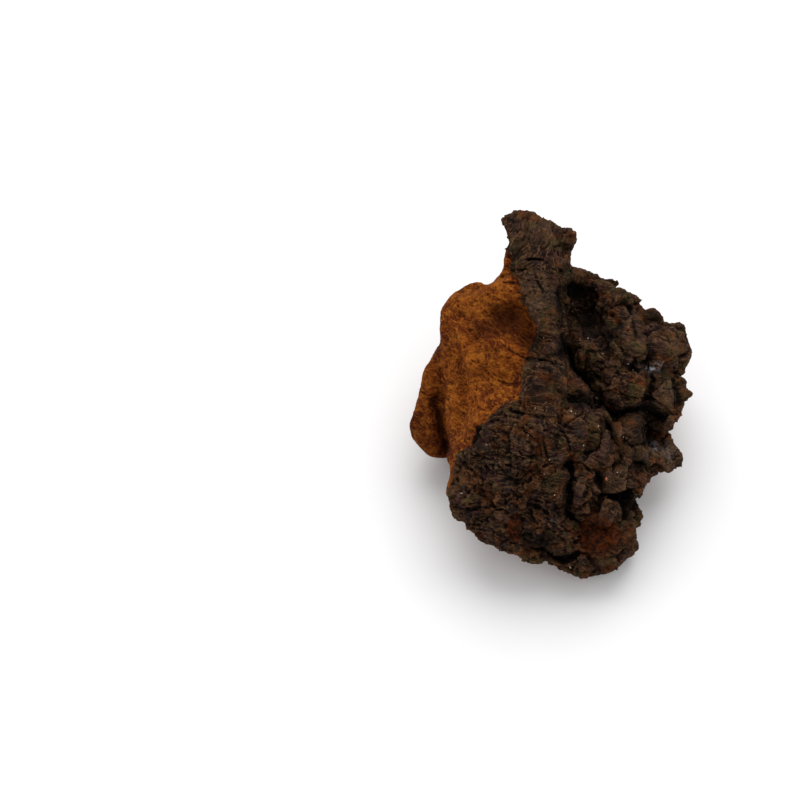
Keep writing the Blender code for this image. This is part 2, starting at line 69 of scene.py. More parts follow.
# Cracks: half width, depth and line
CRACKS = [
    ("great crack, upper run", 0.5, 1.8, [
        (1.3, 9.9), (1.3, 7.6), (2.4, 5.9), (3.3, 4.3), (4.7, 2.3), (6.2, 0.3), (7.8, -1.7), (9.2, -3.1)]),
    ("great crack, lower run", 0.45, 1.6, [
        (9.2, -3.1), (10.6, -2.7), (11.8, -2.2), (13.2, -1.9), (15.2, -2.6), (16.3, -3.3), (17.3, -4.3)]),
    ("side crack", 0.6, 1.8, [
        (7.3, -3.4), (8.7, -5.2), (9.3, -7.0), (9.6, -8.9), (10.4, -9.6), (13.2, -9.9), (14.4, -11.1)]),
    ("pocket edge", 0.42, 1.0, [(13.2, -3.4), (12.9, -5.2), (13.5, -6.7), (14.7, -7.6), (15.7, -8.4)]),
    ("block crack", 0.55, 1.8, [
        (2.8, -8.9), (2.4, -11.1), (2.7, -13.2), (2.2, -15.1), (2.2, -17.0), (3.0, -18.1), (4.3, -18.7)]),
    ("notch crack", 0.42, 1.4, [
        (6.4, -11.1), (7.1, -13.2), (7.9, -14.5), (9.3, -15.3), (10.8, -15.1), (12.6, -15.0)]),
    ("hollow edge", 0.5, 1.2, [(0.7, 16.1), (0.6, 14.4), (0.9, 12.6), (1.5, 11.4)]),
    ("upper right crack", 0.38, 1.0, [(10.8, 10.5), (9.6, 9.5), (8.1, 8.4)]),
    ("upper right nick", 0.25, 0.7, [(12.0, 10.8), (12.3, 8.7)]),
    ("knob edge", 0.3, 0.8, [(13.9, 8.1), (14.2, 6.4), (13.8, 4.9)]),
    ("rim crease", 0.3, 0.6, [(17.9, 4.6), (18.2, 2.2), (18.5, -0.4), (18.5, -2.2)]),
    ("shiny crease", 0.3, 0.6, [(14.4, 2.9), (15.4, 1.8)]),
    ("tongue top", 0.25, 0.8, [(-4.4, 5.1), (-2.8, 5.0), (-1.2, 5.0), (0.6, 4.2), (1.8, 2.4)]),
    ("tongue foot", 0.22, 0.45, [(-6.8, -1.6), (-5.8, -2.4), (-4.0, -2.8), (-2.2, -3.1), (-0.4, -3.3)]),
    ("cleft", 0.4, 0.9, [(-10.8, -4.3), (-11.1, -6.1), (-11.4, -7.3)]),
    ("stripe crack", 0.3, 0.5, [(-1.4, -6.1), (-1.0, -8.1), (-0.6, -9.6)]),
    ("plate crack, left", 0.28, 0.6, [(-4.6, -17.3), (-4.4, -19.3), (-4.9, -20.9)]),
    ("corner crack", 0.35, 0.6, [(-13.0, -17.3), (-11.4, -16.7), (-10.2, -16.4)]),
    ("bottom crack", 0.4, 1.0, [(-0.9, -22.7), (0.7, -23.9), (2.2, -24.4), (3.6, -23.6), (4.3, -22.7)]),
    ("horn slit", 0.2, 0.9, [(-3.7, 19.9), (-2.7, 20.0), (-1.3, 19.9)]),
    ("horn crease", 0.2, 0.35, [(-5.8, 18.1), (-4.3, 18.4), (-2.5, 18.2), (-1.3, 18.5)]),
    ("horn fold", 0.25, 0.4, [(-2.7, 18.8), (-2.2, 17.0), (-1.5, 15.6)]),
    ("flesh slit", 0.18, 0.6, [(-7.4, 16.7), (-6.4, 16.6), (-5.3, 16.6)]),
    ("flesh slit, upper", 0.16, 0.5, [(-7.6, 17.6), (-6.8, 17.5)]),
    ("flesh crease", 0.2, 0.35, [(-6.4, 6.7), (-5.3, 6.1), (-4.4, 5.6), (-3.6, 5.2)]),
    ("tongue seam", 0.18, 0.4, [(-7.6, 2.1), (-6.4, 1.6), (-5.3, 1.6), (-4.4, 1.9)]),
    ("lobe groove", 0.5, 0.9, [
        (-17.2, -0.1), (-17.3, -1.5), (-16.7, -3.0), (-16.3, -5.2), (-15.6, -7.4), (-15.1, -9.2)]),
    ("flank groove", 0.35, 0.4, [(-16.4, 7.4), (-16.4, 4.4), (-16.3, 1.5)]),
]

# Ledges: how proud the left side stands when the line is followed, how far that reaches, and line
LEDGES = [
    ("leaf, right edge", 1.0, 3.0, [
        (2.4, 8.6), (1.8, 10.2), (1.2, 11.9), (0.9, 13.3), (0.6, 14.8), (0.7, 16.1), (1.5, 17.2)]),
    ("pit brow", 0.4, 1.6, [(-9.2, 12.4), (-8.0, 13.2), (-6.2, 13.4), (-4.4, 13.0), (-3.4, 12.2)]),
    ("leaf, foot", 0.35, 2.0, [(-4.6, 4.4), (-3.1, 4.0), (-1.6, 4.3), (0.0, 3.6), (0.9, 2.4)]),
    ("tongue", 0.6, 2.0, [(1.7, -1.6), (1.8, 2.0), (0.7, 3.9), (-1.2, 4.7), (-4.4, 4.9)]),
    ("tongue, foot", 0.5, 2.5, [(-7.3, -1.3), (-5.8, -2.1), (-3.9, -2.7), (-0.9, -3.0), (0.9, -3.4)]),
    ("crescent", 0.6, 2.0, [(1.0, 0.3), (2.5, 1.0), (4.0, 0.6), (5.3, -0.7)]),
    ("brown knob", 0.6, 2.5, [
        (13.6, 4.6), (14.4, 6.2), (14.2, 7.9), (13.2, 9.2), (11.4, 9.9), (9.9, 9.5), (8.9, 8.4), (8.7, 6.8)]),
    ("crack block, top", 0.5, 2.0, [(8.6, 6.8), (6.8, 7.1), (5.0, 6.7), (3.9, 5.5)]),
    ("streaked knob, left", 0.4, 2.0, [(16.0, 3.6), (15.4, 2.2), (15.0, 0.4), (14.7, -1.3)]),
    ("spotted block, right", 0.3, 1.5, [(13.6, -0.4), (14.1, 1.6), (13.3, 3.7)]),
    ("wedge, right", 0.8, 2.5, [(13.5, -7.1), (13.2, -5.2), (12.9, -3.3)]),
    ("spur", 0.5, 1.5, [(15.7, -10.1), (15.1, -8.6), (14.1, -7.7), (12.6, -7.1)]),
    ("back rim", 0.8, 2.0, [(1.2, 16.7), (2.8, 16.3), (4.4, 16.3), (6.1, 15.9), (7.4, 14.8)]),
    ("shelf", 0.4, 2.0, [(18.1, 7.3), (16.4, 8.0), (14.5, 8.0)]),
    ("low block, top", 0.5, 2.0, [(13.6, -10.5), (11.7, -9.9), (9.9, -9.8), (8.4, -10.5), (7.4, -11.9)]),
    ("bulge head, top", 0.5, 2.0, [
        (11.1, -17.5), (9.9, -15.9), (8.4, -15.6), (7.0, -16.3), (6.1, -17.5), (5.6, -18.8)]),
    ("bulge head, foot", 0.3, 1.5, [(5.9, -18.4), (7.7, -19.0), (9.9, -18.8), (11.6, -17.8)]),
    ("plate fold", 0.5, 2.0, [
        (-8.0, -9.5), (-7.3, -10.5), (-6.1, -11.0), (-4.7, -11.0), (-3.6, -10.1), (-3.0, -9.0)]),
    ("stripe", 0.35, 1.2, [(-2.2, -9.2), (-2.2, -7.6), (-2.1, -6.2), (-2.5, -4.7)]),
    ("rust plate, right", 0.4, 1.5, [(-5.2, -21.9), (-4.4, -20.0), (-4.4, -17.9), (-4.9, -16.1)]),
    ("rust plate, left", 0.3, 1.2, [(-6.5, -17.6), (-6.8, -18.7), (-6.5, -19.9)]),
    ("long chip", 0.4, 1.5, [(-1.5, -14.7), (-0.4, -16.0), (0.4, -17.6), (1.0, -19.4)]),
    ("corner fold", 0.3, 1.5, [(-12.9, -17.3), (-11.7, -16.7), (-10.4, -16.6)]),
    ("plate nick", 0.3, 1.5, [(-9.5, -11.7), (-8.3, -12.4), (-7.0, -12.3)]),
    ("foot fold", 0.4, 1.5, [(-9.9, -18.5), (-8.6, -19.6), (-7.1, -20.3), (-6.2, -21.6)]),
    ("horn, right spur", 0.4, 1.5, [(0.9, 21.9), (0.3, 23.3), (-0.3, 24.7), (-0.7, 25.8)]),
    ("horn, lower right", 0.4, 1.5, [(1.8, 18.5), (1.5, 20.3), (1.6, 21.9)]),
    ("horn ridge", 0.35, 1.5, [(-0.3, 14.5), (-1.2, 16.4), (-2.1, 17.9), (-2.7, 19.1)]),
    ("block crack bank", 0.5, 1.8, [(2.1, -18.5), (2.1, -16.3), (2.2, -13.8), (2.7, -11.1), (3.0, -8.9)]),
    ("plate brow", 0.35, 1.5, [(0.3, -9.5), (1.6, -9.8), (3.0, -9.6), (4.3, -8.9)]),
]
LEDGE_SHARPNESS = 0.18

# Dents and knobs: middle, half widths, and height, below nothing for a dent
FORMS = [
    ("flesh pit", (-5.8, 11.4), (2.6, 1.5), -0.5),
    ("hollow top", (3.3, 15.3), (2.2, 1.1), -1.0),
    ("hollow middle", (5.8, 11.3), (1.6, 1.6), -1.0),
    ("hollow foot", (5.0, 9.9), (1.6, 0.8), -0.8),
    ("pocket", (14.2, -4.7), (1.9, 1.9), -1.4),
    ("crescent", (3.9, -0.8), (1.9, 1.0), -0.8),
    ("crack head", (1.8, 6.8), (1.0, 1.3), -0.9),
    ("low pocket", (12.7, -11.1), (1.2, 0.8), -0.9),
    ("notch", (11.4, -16.6), (1.0, 0.8), -1.0),
    ("dark nick", (9.2, 11.8), (0.5, 0.6), -0.7),
    ("plate shadow", (-3.8, -11.5), (1.6, 0.8), -0.5),
    ("bottom hollow", (-1.0, -22.2), (1.0, 0.8), -0.8),
    ("brown knob", (11.4, 7.1), (2.5, 2.5), 0.8),
    ("rim knob", (17.3, 6.7), (2.1, 2.2), 0.5),
    ("edge block", (14.8, 11.7), (1.5, 0.9), 0.4),
    ("streaked knob", (16.1, 0.0), (2.0, 2.8), 0.4),
    ("wedge", (11.3, -6.1), (1.6, 2.6), 0.6),
    ("spur", (13.5, -8.4), (1.8, 1.2), 0.5),
    ("low block", (9.0, -12.3), (2.0, 2.3), 0.5),
    ("crack block", (5.0, -14.1), (1.7, 3.0), 0.4),
    ("bulge head", (8.7, -16.7), (2.0, 1.3), 0.5),
    ("spotted knob", (8.0, 3.4), (1.7, 1.2), 0.4),
]

# Where the crust is flat and only finely grooved: middle, half widths and strength
CALM = [
    ("horn", (-1.6, 22.5), (4.6, 6.5), 0.9),
    ("leaf", (-1.6, 12.5), (3.0, 5.5), 0.75),
    ("tongue", (-1.2, 1.0), (4.2, 3.8), 0.9),
    ("plate, middle right", (1.0, -7.4), (2.4, 3.2), 0.5),
    ("brown knob", (11.6, 7.0), (2.6, 2.6), 0.7),
    ("rim knob", (17.4, 6.6), (2.6, 3.0), 0.7),
    ("streaked knob", (16.6, 0.0), (2.2, 3.2), 0.7),
    ("wedge", (11.2, -5.4), (1.6, 2.2), 0.7),
    ("bulge", (7.4, -20.8), (4.4, 3.8), 0.7),
    ("spur", (13.6, -8.6), (2.2, 1.2), 0.7),
    ("spike", (17.2, -9.0), (2.2, 2.0), 0.7),
]

# Patches of colour: middle, half widths and strength
RUST = [
    ("bulge", (6.9, -20.6), (4.2, 4.2), 0.9),
    ("bulge, right", (11.2, -21.0), (1.4, 3.6), 0.65),
    ("bulge edge", (9.0, -25.6), (2.8, 0.9), 0.75),
    ("bulge foot", (6.2, -23.4), (3.4, 1.6), 0.5),
    ("foot stripe", (-5.6, -19.4), (1.2, 2.5), 1.0),
    ("foot stripe, right", (-3.8, -19.4), (0.8, 2.0), 0.4),
    ("sliver", (4.9, 5.6), (0.8, 0.4), 0.9),
    ("hollow floor", (3.3, 11.6), (1.4, 1.4), 0.4),
    ("hollow left", (2.0, 13.4), (0.8, 2.0), 0.35),
    ("crack shoulder", (3.6, 1.5), (0.9, 1.0), 0.6),
    ("tongue right", (2.8, 2.4), (0.9, 2.0), 0.6),
    ("leaf, foot", (-1.0, 6.4), (2.0, 1.0), 0.5),
    ("leaf, right", (-0.2, 16.8), (0.8, 1.6), 0.5),
    ("spotted knob", (8.1, 3.2), (1.2, 1.0), 0.5),
    ("horn spot", (-0.4, 21.5), (0.8, 1.0), 0.45),
    ("plate stripe", (-2.1, -7.4), (0.6, 2.0), 1.0),
    ("plate spot", (-3.4, -14.5), (1.0, 0.8), 0.7),
    ("tongue foot", (-5.8, -4.4), (1.2, 0.6), 0.45),
    ("plate edge", (-10.3, -5.4), (0.8, 2.2), 0.4),
    ("plate rim", (-13.6, -12.0), (0.9, 3.6), 0.4),
    ("foot left", (-10.8, -20.7), (1.2, 0.7), 0.6),
    ("foot edge", (-7.6, -22.5), (1.3, 0.6), 0.5),
    ("block top", (1.2, -15.6), (0.8, 1.6), 0.25),
]
# Dark patches: mostly painted shade in the pits, hollows, pockets, cracks and under ledges, and on the lobe,
# which faces away from the light; the tongue, the lobe and the bulge are also darker in their own colour
DARK = [
    ("flesh pit", (-6.2, 11.0), (3.5, 2.5), 0.95),
    ("flesh pit, left", (-9.6, 9.8), (3.0, 1.4), 0.65),
    ("flesh by the leaf", (-3.4, 8.0), (1.7, 2.2), 0.8),
    ("lobe", (-19.0, -6.5), (3.2, 7.0), 0.5),
    ("lobe root", (-17.5, 2.0), (1.6, 6.0), 0.3),
    ("flank", (-15.6, 6.6), (1.2, 1.6), 0.3),
    ("hollow, top", (3.7, 15.4), (3.6, 1.8), 0.85),
    ("hollow, middle", (5.8, 10.4), (2.6, 2.8), 0.8),
    ("hollow, left", (2.0, 11.4), (1.4, 3.6), 0.3),
    ("leaf, right", (-0.2, 13.6), (0.8, 3.4), 0.45),
    ("leaf, foot", (-2.0, 8.2), (1.5, 1.7), 0.6),
    ("crack head", (1.8, 6.8), (1.6, 2.0), 1.0),
    ("spur foot", (12.0, -8.6), (2.4, 1.4), 0.4),
    ("tongue", (-1.4, 1.0), (3.0, 3.2), 0.25),
    ("upper right crack", (8.6, 9.0), (1.6, 1.5), 0.65),
    ("crescent", (4.3, -0.9), (2.9, 1.7), 0.85),
    ("pocket", (13.8, -4.6), (2.4, 2.6), 0.8),
    ("side crack", (9.0, -6.8), (1.2, 2.8), 0.7),
    ("low pocket", (12.6, -10.9), (1.4, 0.9), 0.6),
    ("block crack", (2.5, -14.6), (0.9, 4.2), 0.75),
    ("notch", (11.6, -16.1), (1.8, 1.2), 0.75),
    ("plate shadow", (-3.4, -11.2), (2.4, 1.1), 0.5),
    ("plate middle", (-0.6, -12.4), (1.2, 1.0), 0.5),
    ("plate, low middle", (-2.6, -16.2), (1.3, 1.4), 0.5),
    ("plate, by the block crack", (0.7, -16.8), (0.9, 1.4), 0.45),
    ("plate, left of the shadow", (-6.6, -12.6), (1.4, 0.8), 0.35),
    ("foot hollow", (-2.0, -21.6), (3.0, 2.0), 0.75),
    ("plate, low left", (-9.6, -18.6), (2.2, 1.4), 0.4),
    ("bottom crack", (1.6, -23.7), (2.4, 1.0), 0.5),
    ("edge block", (15.0, 11.8), (1.7, 1.3), 0.6),
    ("bulge", (7.2, -20.6), (2.8, 2.6), 0.55),
]
# Paler patches: partly the crust's and flesh's own paler colour, partly painted light on the knobs, ridges and
# the top of the flesh, which face the light
PALE = [
    ("bulge, right", (11.2, -20.4), (1.2, 3.4), 0.5),
    ("leaf", (-2.8, 14.2), (2.2, 3.4), 0.6),
    ("horn", (-2.4, 24.0), (3.4, 2.6), 0.35),
    ("brown knob", (11.7, 6.7), (2.6, 2.3), 0.3),
    ("rim knob", (17.9, 7.4), (2.2, 2.0), 0.3),
    ("streaked knob", (16.8, -0.2), (2.2, 3.0), 0.45),
    ("crack ridge", (5.6, -4.6), (2.4, 2.0), 0.15),
    ("spike", (17.4, -8.6), (1.6, 2.0), 0.7),
    ("spur", (13.6, -8.4), (1.8, 1.2), 0.5),
    ("low block", (9.6, -12.6), (2.4, 2.2), 0.35),
    ("plate, left", (-13.0, -13.4), (1.4, 2.6), 0.35),
    ("flesh top", (-11.6, 13.8), (4.4, 2.4), 0.7),
    ("flesh, by the neck", (-7.2, 16.6), (1.6, 1.8), 0.7),
    ("flesh band", (-9.6, 3.4), (3.6, 3.4), 0.5),
    ("flank ridge", (-14.4, 2.0), (0.9, 6.0), 0.7),
    ("flesh foot", (-12.6, -3.0), (1.6, 4.0), 0.4),
]
# Shiny patches: real gloss from coat and roughness, and a painted highlight of pale grey in their colour
SHEEN = [
    ("shiny knob", (14.5, 3.7), (1.2, 0.6), 1.0),
    ("shiny knob, upper", (15.9, 4.6), (0.6, 0.4), 0.8),
    ("spike root", (15.4, -7.9), (0.8, 0.9), 0.6),
    ("spike", (17.3, -8.4), (0.8, 1.1), 0.4),
]

# Pale crumbs: middle, radius, and how warm their colour is, from 0, white, to 1, salmon
SPECKS = [
    ((-2.5, -1.9), 0.26, 0.3), ((-3.6, -5.9), 0.24, 0.0), ((-13.3, -14.5), 0.3, 0.2),
    ((-0.4, -9.5), 0.26, 0.0), ((-1.2, -11.6), 0.24, 0.2), ((2.8, -2.4), 0.24, 0.0),
    ((6.8, -4.6), 0.34, 0.1), ((4.6, -7.4), 0.26, 0.0), ((8.0, -12.3), 0.7, 1.0), ((5.5, 8.4), 0.3, 0.4),
    ((-1.2, 8.4), 0.22, 0.2), ((3.3, 13.6), 0.3, 0.6), ((11.3, 4.6), 0.22, 0.1), ((12.1, 3.7), 0.24, 0.0),
    ((7.6, 6.1), 0.24, 0.6), ((-1.9, 11.0), 0.24, 0.3), ((-6.4, -4.6), 0.3, 0.8), ((-5.5, -4.3), 0.22, 0.2),
    ((-9.6, -7.3), 0.24, 0.2), ((0.9, 5.0), 0.26, 0.6), ((9.6, -11.4), 0.26, 0.2), ((10.5, -6.2), 0.2, 0.2),
    ((0.3, -14.7), 0.24, 0.3), ((2.8, -25.5), 0.28, 0.2), ((3.4, -2.7), 0.2, 0.0), ((4.3, 8.1), 0.2, 0.5)]


class Value:
    """A number or vector on its way through a node tree, which sums are written with."""

    def __init__(self, tree, socket):
        self.tree = tree
        self.socket = socket

    def output(self, key):
        """Another output of the node that this value comes from."""
        return Value(self.tree, self.tree.find(self.socket.node.outputs, key))

    def sum(self, operation, *values):
        return self.tree.add("ShaderNodeMath", {"operation": operation}, dict(enumerate(values)))

    def __add__(self, other):
        return self.sum("ADD", self, other)

    def __radd__(self, other):
        return self.sum("ADD", other, self)

    def __sub__(self, other):
        return self.sum("SUBTRACT", self, other)

    def __rsub__(self, other):
        return self.sum("SUBTRACT", other, self)

    def __mul__(self, other):
        return self.sum("MULTIPLY", self, other)

    def __rmul__(self, other):
        return self.sum("MULTIPLY", other, self)

    def __truediv__(self, other):
        return self.sum("DIVIDE", self, other)

    def __pow__(self, other):
        return self.sum("POWER", self, other)

    def at_least(self, other):
        return self.sum("MAXIMUM", self, other)

    def at_most(self, other):
        return self.sum("MINIMUM", self, other)

    def step(self, low, high):
        """0 below low and 1 above high, with an eased slope between them."""
        return self.tree.add(
            "ShaderNodeMapRange", {"interpolation_type": "SMOOTHSTEP"},
            {"Value": self, "From Min": low, "From Max": high})


class Tree:
    """A node tree that is filled by calls."""

    def __init__(self, tree):
        self.nodes = tree.nodes
        self.links = tree.links

    def add(self, kind, settings=None, inputs=None, output=0):
        """A node of that kind with its settings, and its inputs by place, identifier or name."""
        node = self.nodes.new(kind)
        for name, value in (settings or {}).items():
            setattr(node, name, value)
        for key, value in (inputs or {}).items():
            socket = self.find(node.inputs, key)
            if isinstance(value, Value):
                self.links.new(value.socket, socket)
            else:
                socket.default_value = value
        return Value(self, self.find(node.outputs, output))

    def find(self, sockets, key):
        if isinstance(key, int):
            return sockets[key]
        by_identifier = [socket for socket in sockets if socket.identifier == key]
        return by_identifier[0] if by_identifier else sockets[key]

    def vector(self, operation, *values):
        return self.add("ShaderNodeVectorMath", {"operation": operation}, dict(enumerate(values)))

    def stretched(self, place, along, across, out):
        """A place drawn out along the three directions of the drawing."""
        return self.vector("MULTIPLY", place, (along, across, out))

    def noise(self, place, scale, detail=3.0, roughness=0.5, output=0):
        return self.add(
            "ShaderNodeTexNoise", {"noise_dimensions": "3D"},
            {"Vector": place, "Scale": scale, "Detail": detail, "Roughness": roughness}, output)

    def ridges(self, place, scale, detail=3.0):
        """Sharp ridges, from 0 in the valleys to about 1, and 0.47 at the middle."""
        return self.add(
            "ShaderNodeTexNoise", {"noise_dimensions": "3D", "noise_type": "RIDGED_MULTIFRACTAL"},
            {"Vector": place, "Scale": scale, "Detail": detail, "Offset": 0.8, "Gain": 1.0})

    def cells(self, place, scale, feature="F1", output=0):
        return self.add("ShaderNodeTexVoronoi", {"feature": feature}, {"Vector": place, "Scale": scale}, output)

    def chips(self, place, scale, slope, level):
        """The tilted, stepped tops of broken chips, and a chance from 0 to 1 for each chip."""
        cell = self.cells(place, scale)
        chance = self.vector("SUBTRACT", cell.output("Color"), (0.5, 0.5, 0.5))
        away = self.vector("SUBTRACT", place, cell.output("Position"))
        lean = self.add("ShaderNodeVectorMath", {"operation": "DOT_PRODUCT"}, {0: away, 1: chance}, "Value")
        first = self.add("ShaderNodeSeparateXYZ", None, {"Vector": chance}, "X")
        return lean * (2 * slope) + first * (2 * level), first.output("Y") + 0.5

    def warped(self, place, scale, reach):
        """A place that wanders by up to reach."""
        drift = self.noise(place, scale, 2.0, output=1)
        centred = self.vector("SUBTRACT", drift, (0.5, 0.5, 0.5))
        far = self.vector("MULTIPLY", centred, (2 * reach, 2 * reach, 2 * reach))
        return self.vector("ADD", place, far)

    def drawing_place(self, position):
        """A point of the frame, in metres, as millimetres in the drawing of the face."""
        from_middle = self.vector("SUBTRACT", position, FACE_MIDDLE)
        in_mm = self.vector("MULTIPLY", from_middle, (1 / MM, 1 / MM, 1 / MM))
        return self.add(
            "ShaderNodeVectorRotate", {"rotation_type": "X_AXIS"}, {"Vector": in_mm, "Angle": -FACE_TILT})

    def mix(self, factor, first, second, blend="MIX"):
        return self.add(
            "ShaderNodeMix", {"data_type": "RGBA", "blend_type": blend, "clamp_factor": True},
            {"Factor_Float": factor, "A_Color": first, "B_Color": second}, "Result_Color")


def linear(red, green, blue):
    """A colour as a screen shows it, 0 to 255, as the shader's numbers."""
    shares = [value / 255 for value in (red, green, blue)]
    return (*[s / 12.92 if s <= 0.04045 else ((s + 0.055) / 1.055) ** 2.4 for s in shares], 1.0)


def face_point(x, y, z=0.0):
    """A point of the drawing, in millimetres, in the frame."""
    return Vector(FACE_MIDDLE) + MM * (x * Vector((1, 0, 0)) + y * FACE_UP + z * FACE_OUT)


def add_object(name, data):
    obj = bpy.data.objects.new(name, data)
    bpy.context.scene.collection.objects.link(obj)
    return obj


def evaluated(obj):
    """The object's mesh with its modifiers applied, as a new mesh."""
    graph = bpy.context.evaluated_depsgraph_get()
    return bpy.data.meshes.new_from_object(obj.evaluated_get(graph), depsgraph=graph)


def make_camera():
    camera = add_object("camera", bpy.data.cameras.new("camera"))
    camera.data.sensor_width = SENSOR_MM
    camera.data.lens = SENSOR_MM * PIXELS_PER_MM * CAMERA_DISTANCE / MM / PHOTO_PIXELS
    camera.data.clip_start = 0.01
    camera.location = face_point(*PICTURE_MIDDLE) + CAMERA_DISTANCE * view_out()
    camera.rotation_euler = view_out().to_track_quat("Z", "Y").to_euler()
    bpy.context.scene.camera = camera


def view_out():
    """The way from the face to the camera."""
    return FACE_OUT


def floor_material():
    material = bpy.data.materials.new("pale floor")
    material.use_nodes = True
    shader = material.node_tree.nodes["Principled BSDF"]
    shader.inputs["Base Color"].default_value = (0.93, 0.93, 0.935, 1)
    shader.inputs["Roughness"].default_value = 0.9
    shader.inputs["Specular IOR Level"].default_value = 0.0
    return material


def make_floor():
    mesh = bpy.data.meshes.new("floor")
    half = 1.5
    mesh.from_pydata([(-half, -half, 0), (half, -half, 0), (half, half, 0), (-half, half, 0)], [], [(0, 1, 2, 3)])
    mesh.materials.append(floor_material())
    add_object("floor", mesh)


def make_lights():
    """A wide soft light overhead, a little behind the chunk, and a bright room."""
    lamp = bpy.data.lights.new("overhead light", "AREA")
    lamp.shape = "DISK"
    lamp.size = 0.9
    lamp.energy = 4.2
    light = add_object("overhead light", lamp)
    light.location = (0.03, 0.42, 0.65)
    light.rotation_euler = Vector(light.location).to_track_quat("Z", "Y").to_euler()
    world = bpy.data.worlds.new("bright room")
    world.use_nodes = True
    bpy.context.scene.world = world
    world.node_tree.nodes["Background"].inputs["Color"].default_value = (1, 1, 1, 1)
    world.node_tree.nodes["Background"].inputs["Strength"].default_value = 0.78
    bpy.context.scene.view_settings.view_transform = "Standard"


def coordinates(mesh):
    """A mesh's points in the drawing, in millimetres, and its normals there."""
    points = np.empty(len(mesh.vertices) * 3)
    normals = np.empty(len(mesh.vertices) * 3)
    mesh.vertices.foreach_get("co", points)
    mesh.vertices.foreach_get("normal", normals)
    to_drawing = np.array([(1, 0, 0), tuple(FACE_UP), tuple(FACE_OUT)]).T
    points = (points.reshape(-1, 3) - FACE_MIDDLE) / MM @ to_drawing
    return points, normals.reshape(-1, 3) @ to_drawing, to_drawing


def distance_to_line(points, line):
    """How far each (x, y) lies from a line of straight runs, and the share along it."""
    best = np.full(len(points), np.inf)
    share = np.zeros(len(points))
    line = np.array(line, float)
    runs = np.linalg.norm(np.diff(line, axis=0), axis=1)
    start = np.concatenate([[0.0], np.cumsum(runs)])
    for index, (a, b) in enumerate(zip(line[:-1], line[1:])):
        along = np.clip((points - a) @ (b - a) / max((b - a) @ (b - a), 1e-9), 0, 1)
        away = np.linalg.norm(points - a - along[:, None] * (b - a), axis=1)
        nearer = away < best
        best[nearer] = away[nearer]
        share[nearer] = (start[index] + along[nearer] * runs[index]) / start[-1]
    return best, share


def inside(points, loop):
    """Which (x, y) lie inside a closed loop."""
    found = np.zeros(len(points), bool)
    for (ax, ay), (bx, by) in zip(loop, np.roll(loop, -1, axis=0)):
        crosses = (ay > points[:, 1]) != (by > points[:, 1])
        where = ax + (points[:, 1] - ay) * (bx - ax) / (by - ay if by != ay else 1e-9)
        found ^= crosses & (points[:, 0] < where)
    return found


def patches(points, front, rows):
    """The strength of the strongest patch at each point."""
    found = np.zeros(len(points))
    for _, middle, half, strength in rows:
        away = np.linalg.norm((points[:, :2] - middle) / half, axis=1)
        found = np.maximum(found, strength * np.exp(-(away**3)))
    return found * front


def paint(mesh, name, values):
    attribute = mesh.attributes.new(name, "FLOAT", "POINT")
    attribute.data.foreach_set("value", values.astype(np.float32))


def thin_out(chunk, share, group=""):
    """Leaves a share of the triangles, and thins only what is in the group, if one is given."""
    thin = chunk.modifiers.new("thin out", "DECIMATE")
    thin.ratio = share
    thin.vertex_group = group
    thin.use_collapse_triangulate = True
    chunk.data = evaluated(chunk)
    chunk.modifiers.clear()


def thin_skin(chunk):
    """Fewer triangles, most of them taken from the sides that face away."""
    _, normals, _ = coordinates(chunk.data)
    facing_away = normals[:, 2] < 0
    hidden = chunk.vertex_groups.new(name="hidden")
    hidden.add(np.flatnonzero(facing_away).tolist(), 1.0, "REPLACE")
    thin_out(chunk, 1 - (1 - HIDDEN_KEPT) * facing_away.mean(), hidden.name)
    chunk.vertex_groups.clear()
    chunk.data.calc_loop_triangles()
    thin_out(chunk, MOST_TRIANGLES / len(chunk.data.loop_triangles))


def fine_skin(node):
    """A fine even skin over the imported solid."""
    shape = bmesh.new()
    shape.from_mesh(node.data)
    bmesh.ops.remove_doubles(shape, verts=shape.verts, dist=1e-7)
    mesh = bpy.data.meshes.new("chaga")
    shape.to_mesh(mesh)
    shape.free()
    chunk = add_object("chaga", mesh)
    skin = chunk.modifiers.new("skin", "REMESH")
    skin.mode = "VOXEL"
    skin.voxel_size = SKIN_VOXEL * MM
    ease = chunk.modifiers.new("ease", "SMOOTH")
    ease.factor = 0.5
    ease.iterations = 6
    chunk.data = evaluated(chunk)
    chunk.modifiers.clear()
    return chunk


def side_of_line(points, line):
    """How far each (x, y) lies from a line, above nothing on its left, and the share along it."""
    away, share = distance_to_line(points, line)
    best = np.full(len(points), np.inf)
    side = np.zeros(len(points))
    for a, b in zip(np.array(line[:-1]), np.array(line[1:])):
        along = np.clip((points - a) @ (b - a) / ((b - a) @ (b - a)), 0, 1)
        reach = np.linalg.norm(points - a - along[:, None] * (b - a), axis=1)
        nearer = reach < best
        best[nearer] = reach[nearer]
        cross = (b - a)[0] * (points - a)[:, 1] - (b - a)[1] * (points - a)[:, 0]
        side[nearer] = np.sign(cross[nearer])
    return away * side, share


